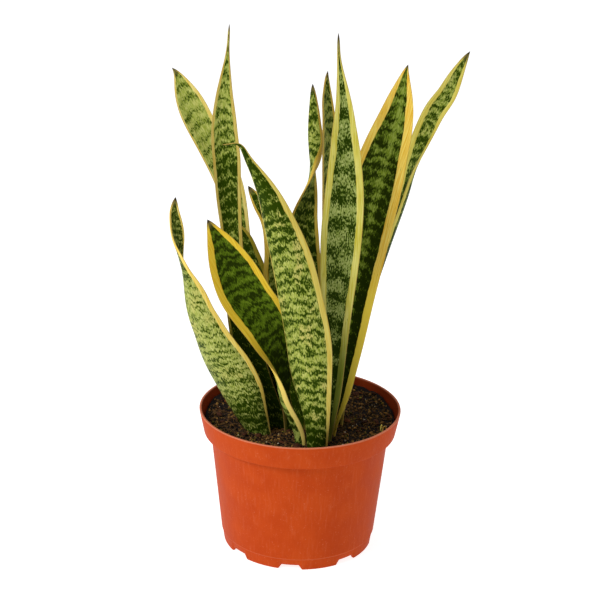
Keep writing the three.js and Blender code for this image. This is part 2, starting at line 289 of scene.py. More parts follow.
# The living skin of a snake plant leaf: a waxy cuticle, satin to the eye, over pale grey-green
# flesh. Dark cross-bands with ragged, zigzag edges lie across it, and the yellow margins have
# no green in them but a few stray flecks. The skin is finely ribbed along the leaf: the ribs
# and the fray of the bands are drawn about twice as coarse as real ones, so that they show.
def leaf_skin(name, seed, look):
    """The skin of one leaf. The keys of look are explained above common_look."""
    made, tree = material(name)
    place = add(tree, "Attribute", {"attribute_name": "place"}, {}).outputs["Vector"]
    reach = add(tree, "Attribute", {"attribute_name": "reach"}, {}).outputs["Vector"]
    tone = add(tree, "Attribute", {"attribute_name": "tone"}, {}).outputs["Fac"]
    _, along, side = add(tree, "SeparateXYZ", {}, {0: place}).outputs
    from_edge, from_tip, turn = add(tree, "SeparateXYZ", {}, {0: reach}).outputs
    aside = add(tree, "Math", {"operation": "ABSOLUTE"}, {0: turn})

    # Noise about 0: its grain across and along the leaf in millimetres, and its detail.
    noise = {}
    for use, (across_mm, along_mm, detail) in {
        "bend": (12, 18, 2), "zigzag": (3.4, 9, 1), "fray": (0.7, 3.5, 2), "flecks": (0.85, 2.0, 3),
        "patches": (9, look["patch"], 2), "skin": (0.9, 5, 3), "sun": (11, 22, 2),
        "border": (5, 12, 3), "teeth": (0.7, 5, 1), "streaks": (0.8, 22, 3), "stray": (0.8, 7, 2),
        "dry": (1.5, 6, 2), "wax": (4, 9, 3), "ribs": (0.45, 14, 2), "dimples": (1.2, 3, 2),
    }.items():
        where = add(tree, "Mapping", {}, {
            "Vector": place, "Location": (seed * 37.0, seed * 61.0, seed * 13.0),
            "Scale": (1 / across_mm, 1 / along_mm, 2.0),
        })
        grain = add(tree, "TexNoise", {}, {"Vector": where, "Scale": 1.0, "Detail": float(detail)})
        noise[use] = add(tree, "Math", {"operation": "SUBTRACT"}, {0: grain, 1: 0.5})

    # Bands: a wave along the leaf, bowed across it, bent slowly and frayed finely. Where the
    # wave, the flecks and the tone, which is partly painted shade, add up to more, the skin is
    # greener and darker.
    run = add(tree, "Math", {"operation": "MULTIPLY"}, {0: aside, 1: aside})
    run = add(tree, "Math", {"operation": "MULTIPLY_ADD"}, {0: run, 1: look["bow"], 2: along})
    for use in ["bend", "zigzag", "fray"]:
        run = add(tree, "Math", {"operation": "MULTIPLY_ADD"}, {0: noise[use], 1: look[use], 2: run})
    wave = add(tree, "Math", {"operation": "MULTIPLY"}, {0: run, 1: 2 * math.pi / look["spacing"]})
    wave = add(tree, "Math", {"operation": "SINE"}, {0: wave})
    level = add(tree, "Math", {"operation": "MULTIPLY_ADD"}, {0: wave, 1: look["contrast"], 2: tone})
    for use in ["flecks", "patches"]:
        level = add(tree, "Math", {"operation": "MULTIPLY_ADD"}, {0: noise[use], 1: look[use], 2: level})

    # A painted sheen: less green in a streak just right of the midrib. Painted light: less green on an
    # outer face, the lit side, which is paler.
    sheen_centre, sheen_edge, sheen_core, outer_painted_light = 0.15, 0.22, 0.06, 0.6
    sheen_streak = add(tree, "Math", {"operation": "SUBTRACT"}, {0: turn, 1: sheen_centre})
    sheen_streak = add(tree, "Math", {"operation": "ABSOLUTE"}, {0: sheen_streak})
    sheen_streak = add(tree, "MapRange", {"interpolation_type": "SMOOTHSTEP"}, {
        "Value": sheen_streak, "From Min": sheen_edge, "From Max": sheen_core, "To Max": look["sheen_streak"],
    })
    level = add(tree, "Math", {"operation": "SUBTRACT"}, {0: level, 1: sheen_streak})
    # Painted light: the outer face, the lit side, made less green and given a paler ground.
    outer = add(tree, "MapRange", {}, {"Value": side, "To Max": look["outer"]})
    level = add(tree, "Math", {"operation": "MULTIPLY_ADD"}, {0: outer, 1: -outer_painted_light, 2: level})
    green = layered(tree, linear(look["ground"]), [
        (noise["skin"], -0.16, 0.2, 1.0, linear(look["pale"])),
        # Painted light: a paler ground on the outer face.
        (outer, 0.0, 1.0, 1.0, linear("#a3ae54")),
        (noise["sun"], 0.02, 0.2, look["sun"], linear("#c3b868")),
        (level, -0.6, 0.25, 0.85, linear(look["green"])),
        (level, 0.05, 0.65, 1.0, linear(look["band"])),
    ])

    # Margins: yellow, paler in streaks, in another colour towards the peat where the look says so,
    # and narrower at the peat. That low colour is partly the margin's own green; a darker one is
    # painted shade, and a paler one painted light on a margin that lies in shade. The inner border
    # wanders, and a margin takes no more than its share of the half blade. The very edge is dry
    # and brown, and so is the tip.
    low_fade, right_fade, narrowest, border_wander, tooth = 50, 25, 0.4, 1.5, 0.8
    yellow = layered(tree, linear(look["gold"]), [
        (noise["streaks"], -0.2, 0.2, 1.0, linear(look["cream"])),
        (noise["stray"], 0.17, 0.24, look["stray"], linear(look["green"])),
        # Below shaded_margin_below: painted shade where the low colour is darker, painted light where it
        # is paler.
        (along, look["shaded_margin_below"] + low_fade, look["shaded_margin_below"], 0.85, linear(look["low"])),
    ])
    start = planted + look["right_from"]
    right = add(tree, "MapRange", {}, {
        "Value": along, "From Min": start, "From Max": start + right_fade, "To Max": look["right"],
    })
    wide = add(tree, "MapRange", {}, {
        "Value": turn, "From Min": -0.02, "From Max": 0.02, "To Min": look["left"], "To Max": right,
    })
    grown = add(tree, "MapRange", {}, {
        "Value": along, "From Min": planted, "From Max": planted + look["widens"],
        "To Min": narrowest,
    })
    wide = add(tree, "Math", {"operation": "MULTIPLY"}, {0: wide, 1: grown})
    inside = add(tree, "Math", {"operation": "SUBTRACT"}, {0: from_edge, 1: wide})
    for use, amount in [("border", border_wander), ("teeth", tooth)]:
        inside = add(tree, "Math", {"operation": "MULTIPLY_ADD"}, {0: noise[use], 1: amount, 2: inside})
    share = add(tree, "Math", {"operation": "MULTIPLY_ADD"}, {0: noise["border"], 1: 0.25, 2: aside})
    by_width = add(tree, "MapRange", {}, {"Value": inside, "From Min": 0.3, "From Max": -0.2})
    by_share = add(tree, "MapRange", {}, {
        "Value": share, "From Min": 0.97 - look["share"], "From Max": 1.03 - look["share"],
    })
    margin = add(tree, "Math", {"operation": "MINIMUM"}, {0: by_width, 1: by_share})
    dried, ragged = look["spine"], 5.0
    tip = add(tree, "Math", {"operation": "MULTIPLY_ADD"}, {0: noise["dry"], 1: ragged, 2: from_tip})
    colour = layered(tree, green, [
        (margin, 0.0, 1.0, 1.0, yellow),
        (from_edge, 0.55, 0.15, 0.5, linear("#a8834a")),
        (tip, 3.2 * dried, dried, 0.8, linear("#6f6238")),
        (tip, 1.4 * dried, 0.4 * dried, 1.0, linear("#2a2017")),
    ])

    rough = add(tree, "MapRange", {}, {
        "Value": noise["wax"], "From Min": -0.3, "From Max": 0.3, "To Min": 0.4, "To Max": 0.56,
    })
    ribs = add(tree, "Math", {"operation": "ADD"}, {0: noise["ribs"], 1: noise["dimples"]})
    relief = add(tree, "Bump", {}, {"Height": ribs, "Distance": 0.12 * millimetre, "Strength": 0.4})
    shade = add(tree, "BsdfPrincipled", {}, {
        "Base Color": colour, "Roughness": rough, "Normal": relief, "IOR": 1.42,
        "Specular IOR Level": 0.07, "Specular Tint": linear("#e4dc78"),
    })
    add(tree, "OutputMaterial", {}, {"Surface": shade})
    return made


# What all the leaves share, and then how each one differs. Lengths are in millimetres.
# Colours: ground and pale are the flesh between the bands, green and band the half-tone and
# the darkest; gold and cream are the margins, low their colour below shaded_margin_below. That
# low colour is partly the margins' own green towards the peat; where it is darker it is painted
# shade, and where it is paler it is painted light on a margin that lies in shade.
# Bands: spacing, bow at the middle, and how far bend, zigzag and fray move them; how much
# contrast, flecks and patches (patch long) add. Paler: sheen_streak, a painted sheen by the
# midrib; sun in blotches; outer, painted light on the lit outer face. Margins: left and right
# wide, at most share of the half blade, full width once the leaf widens, right only above
# right_from, with stray green; spine is the dry tip. tones_and_shade are pairs: the share of
# the way from the peat to the tip, and how much greener and darker, partly the leaf's own
# colour and partly painted shade from its neighbours and the cluster.
common_look = {
    "ground": "#8a9638", "pale": "#b4b866", "green": "#56691a", "band": "#253802",
    "gold": "#c49d2e", "cream": "#d6c05a",
    "spacing": 8.5, "bow": 5.0, "bend": 18.0, "zigzag": 10.0, "fray": 6.0, "flecks": 4.2,
    "contrast": 0.5, "patches": 1.6, "patch": 14.0, "sheen_streak": 0.0, "sun": 0.3, "widens": 40.0,
    "low": "#56691a", "stray": 0.5, "outer": 0.0, "right_from": -60.0,
    "left": 3.0, "right": 4.5, "share": 0.32, "shaded_margin_below": -60.0, "spine": 2.6,
    "tones_and_shade": [(0, 0.9), (0.1, 0.5), (0.25, 0.1), (0.6, 0), (0.8, 0.1), (1, 0.4)],
}
leaf_looks = {
    "front_leaf": {
        "left": 0.8, "right": 4.4, "bow": 7.0, "gold": "#ceb44a", "cream": "#dece6c",
        "spacing": 8.0, "contrast": 0.58, "bend": 14.0, "sun": 0.8, "spine": 0.5,
        "tones_and_shade": [
            (0, 0.9), (0.1, 0.5), (0.2, 0.15), (0.3, 0), (0.62, 0), (0.72, 0.4), (0.8, 0.9), (1, 0.7),
        ],
    },
    "front_left_leaf": {
        # Its dark ground, pale, green and band are painted shade on its inner face; outer gives its
        # outer face painted light.
        "left": 5.4, "right": 4.2, "share": 0.5, "ground": "#4a610c", "pale": "#657a20",
        "green": "#384c09", "band": "#1b2802", "gold": "#cca424", "cream": "#dcc040", "sun": 0.0,
        "shaded_margin_below": 60.0, "low": "#f0d878",
        "contrast": 0.45, "flecks": 2.6, "widens": 75.0, "outer": 1.0, "right_from": 55.0,
        "tones_and_shade": [(0, 0.75), (0.3, 0.6), (0.45, 0.3), (0.6, 0.15), (0.85, 0.2), (1, 0.4)],
    },
    "outer_left_leaf": {
        "left": 1.2, "right": 3.2, "spacing": 7.0, "ground": "#8f9a42", "pale": "#bcbf70",
        "contrast": 0.45, "sun": 0.5, "gold": "#e8c44c", "cream": "#f0dc80",
        "tones_and_shade": [(0, 0.6), (0.12, 0.4), (0.25, 0.0), (0.5, -0.3), (0.65, -0.3), (0.75, 0.3), (1, 0.6)],
    },
    "tall_left_leaf": {
        "left": 1.8, "right": 2.4, "spine": 2.5, "shaded_margin_below": 80.0, "low": "#747618", "patch": 24.0,
        "right_from": 95.0, "gold": "#b39638", "cream": "#c4b566",
        "tones_and_shade": [(0, 1), (0.3, 1), (0.5, 0.55), (0.62, 0.6), (0.7, 0.2), (0.78, -0.05), (1, 0)],
    },
    "upper_left_leaf": {
        "spacing": 10.0, "left": 1.2, "right": 2.8, "bend": 8.0, "zigzag": 6.0, "contrast": 0.5,
        "gold": "#ccae44", "cream": "#dccf80",
        "tones_and_shade": [(0, 0.8), (0.5, 0.3), (0.65, -0.35), (0.92, -0.35), (1, 0.2)],
    },
    "middle_left_leaf": {
        "left": 2.0, "right": 6.0, "gold": "#94861c", "cream": "#a8963a",
        "tones_and_shade": [(0, 0.9), (0.5, 0.7), (1, 0.6)],
    },
    "short_leaf": {
        "left": 3.5, "right": 2.0, "shaded_margin_below": 90.0, "low": "#1f2e06",
        "tones_and_shade": [(0, 1), (0.3, 0.7), (0.6, 0.1), (0.85, 0.5), (1, 0.9)],
    },
    "back_left_leaf": {
        "left": 2.4, "right": 2.4,
        "tones_and_shade": [(0, 0.9), (0.4, 0.5), (0.65, 0.5), (0.75, 0), (0.9, 0.1), (1, 0.5)],
    },
    "back_leaf": {
        "left": 2.6, "right": 1.8, "shaded_margin_below": 40.0, "gold": "#c8a43c",
        "tones_and_shade": [(0, 0.9), (0.6, 0.5), (0.8, 0.0), (1, 0.2)],
    },
    "tall_right_leaf": {
        "ground": "#7c8a42", "pale": "#a2aa66", "green": "#4b6014", "band": "#1d2f02", "stray": 0.8,
        "spacing": 19.0, "bow": 3.0, "patch": 12.0, "patches": 3.4, "contrast": 0.55, "share": 0.5,
        "left": 4.4, "right": 4.8, "gold": "#b4a834", "cream": "#d0ca72", "spine": 5.0,
        "shaded_margin_below": 80.0, "flecks": 6.5, "sun": 0.0,
        "tones_and_shade": [(0, 0.95), (0.2, 0.7), (0.35, 0.3), (0.5, 0.15), (0.7, 0.1), (0.85, 0.35), (1, 0.4)],
    },
    "broad_right_leaf": {
        "left": 5.5, "right": 6.2, "share": 0.5, "ground": "#6c7f22", "pale": "#8f9c48",
        "green": "#42560c", "band": "#1c2802", "gold": "#dcaa30", "cream": "#eed66a", "spine": 1.2,
        # Its pale low margin colour is painted light on a margin that lies in shade.
        "shaded_margin_below": 125.0, "low": "#ffe450",
        # sheen_streak paints the sheen along its concave face.
        "sheen_streak": 0.6, "sun": 0.0, "contrast": 0.42, "flecks": 3.0, "bend": 10.0,
        "tones_and_shade": [(0, 1.1), (0.35, 1.05), (0.5, 0.85), (0.65, 0.6), (0.8, 0.3), (1, 0.1)],
    },
    "outer_right_leaf": {
        "left": 5.6, "right": 2.8, "share": 0.45, "gold": "#c3b142", "cream": "#d7cd6c", "spine": 3.4,
        "ground": "#7f8e30",
        "tones_and_shade": [(0, 0.9), (0.55, 0.8), (0.7, 0.45), (0.8, 0.15), (0.9, 0.05), (1, 0.3)],
    },
}

for seed, (leaf, changes) in enumerate(leaf_looks.items(), 1):
    shell, foot, tip, place, reach, facing = leaf_shape(leaf)
    points, faces = closed_rings(shell, foot, tip, facing > 0)
    look = common_look | changes
    # The tone along each leaf: partly its own darker colour, partly painted shade.
    share, tone = np.array(look["tones_and_shade"]).T
    length = place[0, 0, 1] + reach[0, 0, 1]
    tone = np.interp((place[..., 1] - planted) / (length - planted), share, tone)
    # Each attribute ends with its values at the two poles, the planted end and the tip.
    attributes = {
        "place": np.concatenate([place.reshape(-1, 3), [[0, 0, 1], [0, length, 1]]]),
        "reach": np.concatenate([reach.reshape(-1, 3), [[10, length, 0], [0, 0, 0]]]),
        "tone": np.concatenate([tone.ravel(), [tone[0, 0], tone[-1, 0]]]),
    }
    skin = leaf_skin("leaf_skin_" + leaf, seed, look)
    piece(leaf + "_blade", points, faces, attributes, skin, [leaf])


# ---- Pot -------------------------------------------------------------------------------
# A nursery pot of terracotta-coloured polypropylene, injection moulded in one piece: a thin
# shell under a deep rim band, a fine step near its base, and a raised drainage channel
# inside a foot ring with eight notches.
pot_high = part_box("pot")[1]  # metres, as all the sizes below
pot_height = pot_high.z
rim_radius = pot_high.x
base_radius = 0.0573
wall = 0.0018
band_height = 0.0185
band_taper = 0.0036
band_step = 0.005
mold_step_height = 0.009
mold_step = 0.0005
foot_height = 0.0044
foot_width = 0.0017
foot_reach = 0.0042  # the notches cut the foot from the outside to here
foot_top = 0.006
channel_width = 0.013
notch_count = 8
notch_turn = math.radians(-5)
notch_half = 0.009
notch_cheek = 0.0026
notch_height = 0.0039
drain_length = 0.009
drain_width = 0.006
pot_columns = 720
fine = 0.0004  # the radius of a sharp moulded edge

band_bottom = pot_height - band_height
wall_top_radius = rim_radius - band_taper - band_step
wall_slope = (wall_top_radius - base_radius - mold_step) / band_bottom
channel_inner = base_radius - foot_width - channel_width


def wall_radius(height):
    """The wall's outer radius: a straight taper, and one fine step outwards near the base."""
    return base_radius + wall_slope * height + (mold_step if height > mold_step_height else 0)


def inner_radius(height):
    """The inner radius: one wall in from the outside, in the band and below it."""
    if height > band_bottom + wall:
        return rim_radius - wall - band_taper * (pot_height - height) / band_height
    return wall_radius(height) - wall


corner_points = 5  # of a rounded corner, its two ends among them


def rounded(profile):
    """A profile of [radius, height, cut] corners with each corner made a curve: a quadratic
    from cut before the corner to cut after it. A cut of 0 keeps the corner sharp. The first
    and the last corner, both on the axis, are left to the poles."""
    profile = np.array(profile)
    corner, cut = profile[:, :2], profile[:, 2:]
    back = np.roll(corner, 1, 0) - corner
    on = np.roll(corner, -1, 0) - corner
    back_length = np.linalg.norm(back, axis=1, keepdims=True)
    on_length = np.linalg.norm(on, axis=1, keepdims=True)
    start = corner + back / back_length * np.minimum(cut, back_length * 0.45)
    stop = corner + on / on_length * np.minimum(cut, on_length * 0.45)
    share = np.linspace(0, 1, corner_points)[None, :, None]
    curve = (1 - share) ** 2 * start[:, None] + 2 * share * (1 - share) * corner[:, None]
    curve = (curve + share ** 2 * stop[:, None])[1:-1].reshape(-1, 2)
    keep = np.append(True, np.linalg.norm(np.diff(curve, axis=0), axis=1) > 1e-6)
    return curve[keep]


def turned(profile, columns):
    """A profile of radii and heights spun about Z: each ring is its radius times the cosine
    and sine of the turn, at its height."""
    turn = 2 * np.pi * np.arange(columns) / columns
    spin = np.stack([np.cos(turn), np.sin(turn)], 1)
    flat = profile[:, None, :1] * spin[None]
    return np.concatenate([flat, np.broadcast_to(profile[:, None, 1:], (*flat.shape[:2], 1))], 2)


drain_inner = base_radius - foot_width - channel_width / 2 - drain_width / 2
drain_outer = drain_inner + drain_width
pot_profile = rounded([
    [0, 0, 0],
    [0.002, 0, 0],
    [channel_inner - 0.0024, 0, fine],
    [channel_inner, foot_height, fine],
    [drain_inner, foot_height, 0],
    [drain_outer, foot_height, 0],
    [base_radius - foot_width - 0.0014, foot_height, fine],
    [base_radius - foot_width - 0.0008, 0, fine],
    [base_radius - 0.0003, 0, 0.0006],
    [wall_radius(mold_step_height), mold_step_height, 0.0002],
    [wall_radius(mold_step_height + fine), mold_step_height + fine, 0.0003],
    [wall_radius(band_bottom), band_bottom, 0.0006],
    [rim_radius - band_taper, band_bottom + 0.0002, 0.0008],
    [rim_radius, pot_height - 0.0004, 0.0008],
    [rim_radius - 0.0005, pot_height, 0.0006],
    [rim_radius - wall, pot_height - 0.0002, 0.0008],
    [inner_radius(band_bottom + wall + fine), band_bottom + wall + fine, 0.001],
    [inner_radius(band_bottom), band_bottom + 0.001, 0.001],
    [inner_radius(foot_height + wall), foot_height + wall, 0.0014],
    [drain_outer, foot_height + wall, 0],
    [drain_inner, foot_height + wall, 0],
    [channel_inner - 0.0006, foot_height + wall, fine],
    [channel_inner - 0.003, wall, fine],
    [0.002, wall, 0],
    [0, wall, 0],
])
pot_rings = turned(pot_profile, pot_columns)
pot_turn = np.arctan2(pot_rings[..., 1], pot_rings[..., 0])
pot_radius = np.hypot(pot_rings[..., 0], pot_rings[..., 1])
notch_pitch = 2 * np.pi / notch_count
from_notch = (pot_turn + np.pi / 2 - notch_turn + notch_pitch / 2) % notch_pitch - notch_pitch / 2
lift = np.clip((notch_half - abs(from_notch) * base_radius) / notch_cheek, 0, 1) * notch_height
low_down = np.clip(1 - pot_rings[..., 2] / foot_top, 0, 1) * (pot_radius > base_radius - foot_reach)
pot_rings[..., 2] += lift * low_down
pot_points, pot_faces = closed_rings(pot_rings, (0, 0, 0), (0, 0, wall), False)

# The drain openings: the quads of both sides of the channel's roof are left out over each,
# and its four walls join what is left.
under = np.hypot(*(pot_profile - [drain_inner, foot_height]).T).argmin()
over = np.hypot(*(pot_profile - [drain_outer, foot_height + wall]).T).argmin()
at = np.arange(len(pot_profile) * pot_columns).reshape(-1, pot_columns)
half_drain = round(drain_length / (drain_inner + drain_outer) * pot_columns / (2 * np.pi))
first_drain = (notch_turn - np.pi / 2) / (2 * np.pi) * pot_columns
drains = np.round(first_drain + np.arange(notch_count) * pot_columns / notch_count).astype(int)
a = (drains[:, None] + np.arange(-half_drain, half_drain)).ravel() % pot_columns
b = (a + 1) % pot_columns
first, last = (drains - half_drain) % pot_columns, (drains + half_drain) % pot_columns
left_out = set(np.concatenate([under * pot_columns + a, over * pot_columns + a]).tolist())
walls = np.concatenate([
    np.stack([at[under, a], at[under, b], at[over + 1, b], at[over + 1, a]], 1),
    np.stack([at[over, a], at[over, b], at[under + 1, b], at[under + 1, a]], 1),
    np.stack([at[under + 1, first], at[under, first], at[over + 1, first], at[over, first]], 1),
    np.stack([at[under, last], at[under + 1, last], at[over, last], at[over + 1, last]], 1),
])
pot_faces = [face for place, face in enumerate(pot_faces) if place not in left_out] + walls.tolist()

# Within is 1 on the points inside the shell, from a few past the top of the lip to the pole.
lip = pot_profile[:, 1].argmax()
lip_curve = 3
within = np.repeat(np.arange(len(pot_profile)) > lip + lip_curve, pot_columns).astype(float)
within = np.append(within, [0, 1])

# Terracotta-coloured polypropylene, straight from the mould: an even orange-red, satin, with
# faint clouds and upright flow lines in the colour and a soft orange-peel skin. Painted light
# and shade lie on it too: a painted highlight along its lip and along its lower step, a painted
# shadow line in the corner under its band, and inside, peat dust with painted shade that dulls
# and darkens it. The noise is sized per metre: the clouds are 18 mm across, the specks 1.1 mm,
# and the flow lines 1.5 mm by 22 mm. The peel, 0.7 mm, is drawn about twice as coarse as the
# real one, so that it shows.
pot_plastic, tree = material("pot_polypropylene")
where = add(tree, "TexCoord", {}, {}).outputs["Object"]
height = add(tree, "SeparateXYZ", {}, {0: where}).outputs["Z"]
within_shell = add(tree, "Attribute", {"attribute_name": "within"}, {}).outputs["Fac"]
clouds = add(tree, "TexNoise", {}, {"Vector": where, "Scale": 55.0, "Detail": 4.0})
specks = add(tree, "TexNoise", {}, {"Vector": where, "Scale": 900.0, "Detail": 3.0})
upright = add(tree, "Mapping", {}, {"Vector": where, "Scale": (650.0, 650.0, 45.0)})
lines = add(tree, "TexNoise", {}, {"Vector": upright, "Scale": 1.0, "Detail": 3.0})
step_highlight = add(tree, "Math", {"operation": "SUBTRACT"}, {0: height, 1: mold_step_height + fine / 2})
step_highlight = add(tree, "Math", {"operation": "ABSOLUTE"}, {0: step_highlight})
band_shadow = add(tree, "Math", {"operation": "SUBTRACT"}, {0: height, 1: band_bottom - fine})
band_shadow = add(tree, "Math", {"operation": "ABSOLUTE"}, {0: band_shadow})
pale, dust_and_shade = linear("#dc8c68"), linear("#35140a")
colour = layered(tree, linear("#b34014"), [
    (clouds, 0.3, 0.7, 1.0, linear("#bb4718")),
    (specks, 0.6, 0.8, 0.3, pale),
    (lines, 0.5, 0.8, 0.09, pale),
    (lines, 0.5, 0.2, 0.12, linear("#983208")),
    # Painted highlight: a pale line along the ridge of the lower step.
    (step_highlight, 0.0007, 0.0002, 0.18, pale),
    # Painted shadow: a dark contact line in the corner under the band.
    (band_shadow, 0.0011, 0.0003, 0.4, dust_and_shade),
    # Painted highlight: the top of the lip paler.
    (height, pot_height - 0.0012, pot_height - 0.0004, 0.5, linear("#e49a7a")),
    # Partly peat dust, partly painted shade: the inside of the shell darker.
    (within_shell, 0.0, 1.0, 0.38, dust_and_shade),
])
smudge = add(tree, "MapRange", {}, {
    "Value": clouds, "From Min": 0.35, "From Max": 0.7, "To Min": 0.5, "To Max": 0.62,
})
peel = add(tree, "TexNoise", {}, {"Vector": where, "Scale": 1400.0, "Detail": 2.0})
relief = add(tree, "Bump", {}, {"Height": peel, "Distance": 0.05 * millimetre, "Strength": 0.5})
shade = add(tree, "BsdfPrincipled", {}, {
    "Base Color": colour, "Roughness": smudge, "Normal": relief, "IOR": 1.49,
    "Specular IOR Level": 0.045, "Specular Tint": linear("#e8a480"),
})
add(tree, "OutputMaterial", {}, {"Surface": shade})

pot = piece(
    "pot_shell", pot_points, pot_faces, {"within": within}, pot_plastic, ["pot"],
)
pot.data.set_sharp_from_angle(angle=math.radians(40))


# ---- Peat ------------------------------------------------------------------------------
# Peat potting mix, poured round the roots and pressed down by hand: an uneven dark bed that
# stops below the rim, with crumbs, fibres, chips of bark and a few grains of perlite on it.
peat_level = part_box("peat")[1].z - 0.0011  # the mean height of the surface
peat_radius = inner_radius(peat_level) - 0.0004
peat_floor = foot_height + wall + 0.0005
wave_height = 0.0004
longest_wave = 0.045
bank_height = 0.0078
bank_start = 0.66  # share of the radius
bed_steps = 90
bed_columns = 360
chance = np.random.default_rng(7)


def peat_top(x, y):
    """The height of the peat's surface: a sum of sine waves in random directions, each octave
    half as long and a little over half as high as the one before, and a bank against the
    wall, the square of the last third of the way to it, higher behind than in front."""
    total = np.zeros_like(x)
    draw = np.random.default_rng(3)
    for octave in range(5):
        for _ in range(4):
            way, phase = draw.uniform(0, 2 * np.pi, 2)
            waves = 2 * np.pi / (longest_wave / 2 ** octave)
            total += 0.6 ** octave * np.sin((x * np.cos(way) + y * np.sin(way)) * waves + phase)
    far = np.hypot(x, y) / peat_radius
    behind = np.clip(0.6 + 0.8 * y / peat_radius, 0, 1)
    bank = bank_height * behind * np.clip((far - bank_start) / (1 - bank_start), 0, 1) ** 2
    return peat_level + wave_height * total + bank


# The bed: rings up the inside of the pot, just clear of its wall, then in to the middle.
bed_share = np.linspace(0, 1, bed_steps + 1)[1:]
bed_profile = np.stack([bed_share[::-1] * peat_radius, np.full(bed_steps, peat_level)], 1)
bed_top = turned(bed_profile, bed_columns)
bed_top[..., 2] = peat_top(bed_top[..., 0], bed_top[..., 1])
bed_top[0, :, 2] -= 0.0006
bed_bottom = peat_floor - 0.0035
bed_side = turned(np.array([
    [channel_inner - 0.004, bed_bottom],
    [channel_inner, peat_floor],
    [inner_radius(peat_floor + 0.002) - 0.0006, peat_floor + 0.0004],
    [inner_radius(band_bottom) - 0.0004, band_bottom],
]), bed_columns)
bed_points, bed_faces = closed_rings(
    np.concatenate([bed_side, bed_top]), (0, 0, bed_bottom), (0, 0, peat_level), False,
)


# Milled peat and what is mixed into it: porous, crumbly stuff with next to no gloss, each bit
# its own tone between a dark and a light colour. size_mm is the size of the grain in it, a
# few times that of real peat dust, so that it shows.
def peat_material(name, dark, light, size_mm):
    made, tree = material(name)
    where = add(tree, "TexCoord", {}, {}).outputs["Object"]
    tone = add(tree, "Attribute", {"attribute_name": "tone"}, {}).outputs["Fac"]
    grains = add(tree, "TexNoise", {}, {"Vector": where, "Scale": 1000 / size_mm, "Detail": 4.0})
    lightness = add(tree, "Math", {"operation": "ADD"}, {0: grains, 1: tone})
    lightness = add(tree, "MapRange", {}, {"Value": lightness, "From Min": 0.3, "From Max": 1.3})
    colour = add(tree, "MixRGB", {}, {
        "Fac": lightness, "Color1": linear(dark), "Color2": linear(light),
    })
    relief = add(tree, "Bump", {}, {"Height": grains, "Distance": 0.4 * millimetre, "Strength": 0.8})
    shade = add(tree, "BsdfPrincipled", {}, {
        "Base Color": colour, "Roughness": 0.92, "Normal": relief, "Specular IOR Level": 0.25,
    })
    add(tree, "OutputMaterial", {}, {"Surface": shade})
    return made


# Damp milled peat: nearly black to the eye.
bed_skin = peat_material("damp_peat", "#080403", "#2a160d", 1.6)
bed_tones = np.zeros(len(bed_points))
piece("peat_bed", bed_points, bed_faces, {"tone": bed_tones}, bed_skin, ["peat"])

# The twelve corners and twenty faces of an icosahedron of radius 1.
ratio = (1 + 5 ** 0.5) / 2
lump_points = np.array([
    [-1, ratio, 0], [1, ratio, 0], [-1, -ratio, 0], [1, -ratio, 0],
    [0, -1, ratio], [0, 1, ratio], [0, -1, -ratio], [0, 1, -ratio],
    [ratio, 0, -1], [ratio, 0, 1], [-ratio, 0, -1], [-ratio, 0, 1],
]) / (1 + ratio ** 2) ** 0.5
lump_faces = np.array([
    [0, 11, 5], [0, 5, 1], [0, 1, 7], [0, 7, 10], [0, 10, 11], [1, 5, 9], [5, 11, 4], [11, 10, 2],
    [10, 7, 6], [7, 1, 8], [3, 9, 4], [3, 4, 2], [3, 2, 6], [3, 6, 8], [3, 8, 9], [4, 9, 5],
    [2, 4, 11], [6, 2, 10], [8, 6, 7], [9, 8, 1],
])


def lumps(count, low, high, flatness, rise):
    """Broken lumps on the peat: the twelve points of an icosahedron, each moved in or out at
    random, sized between low and high and flattened, then tilted and turned at random and set
    on the surface, up by rise of their thickness. Most are small, and most are dark."""
    clear = 0.002
    corners = len(lump_points)
    far = np.sqrt(chance.random(count)) * (peat_radius - clear)
    way = chance.uniform(0, 2 * np.pi, count)
    x, y = far * np.cos(way), far * np.sin(way)
    size = low * (high / low) ** (chance.random(count) ** 1.6)
    shape = np.stack([size, size * chance.uniform(0.5, 0.9, count), size * flatness], 1) / 2
    points = lump_points * chance.uniform(0.65, 1.2, (count, corners, 1)) * shape[:, None]
    tilt = chance.normal(0, 0.35, count)[:, None]
    spin = chance.uniform(0, 2 * np.pi, count)[:, None]
    up = points[..., 1] * np.sin(tilt) + points[..., 2] * np.cos(tilt)
    flat = points[..., 1] * np.cos(tilt) - points[..., 2] * np.sin(tilt)
    centre = peat_top(x, y) + size * flatness * rise
    placed = np.stack([
        points[..., 0] * np.cos(spin) - flat * np.sin(spin) + x[:, None],
        points[..., 0] * np.sin(spin) + flat * np.cos(spin) + y[:, None],
        up + centre[:, None],
    ], 2)
    faces = (lump_faces + corners * np.arange(count)[:, None, None]).reshape(-1, 3)
    return placed.reshape(-1, 3), faces.tolist(), np.repeat(chance.random(count) ** 3.2, corners)


# Crumbs of dried peat: brown specks over the dark, the lightest almost tan.
crumb_points, crumb_faces, crumb_tones = lumps(7200, 0.0005, 0.0031, 0.7, 0.25)
crumb_skin = peat_material("dry_peat_crumbs", "#0d0604", "#a4793c", 0.9)
piece("peat_crumbs", crumb_points, crumb_faces, {"tone": crumb_tones}, crumb_skin)

# Chips of composted pine bark: flat, and redder than the peat.
bark_points, bark_faces, bark_tones = lumps(170, 0.003, 0.009, 0.3, 0.5)
bark_skin = peat_material("bark_chips", "#241109", "#7a4420", 1.4)
piece("bark_chips", bark_points, bark_faces, {"tone": bark_tones}, bark_skin)

# Perlite, volcanic glass puffed up by heat: chalky grains, off-white or stained by the peat.
perlite_points, perlite_faces, perlite_tones = lumps(130, 0.0006, 0.0021, 0.85, 0.5)
perlite_skin = peat_material("perlite", "#8a7c5e", "#e4d9be", 0.8)
piece("perlite_grains", perlite_points, perlite_faces, {"tone": perlite_tones}, perlite_skin)

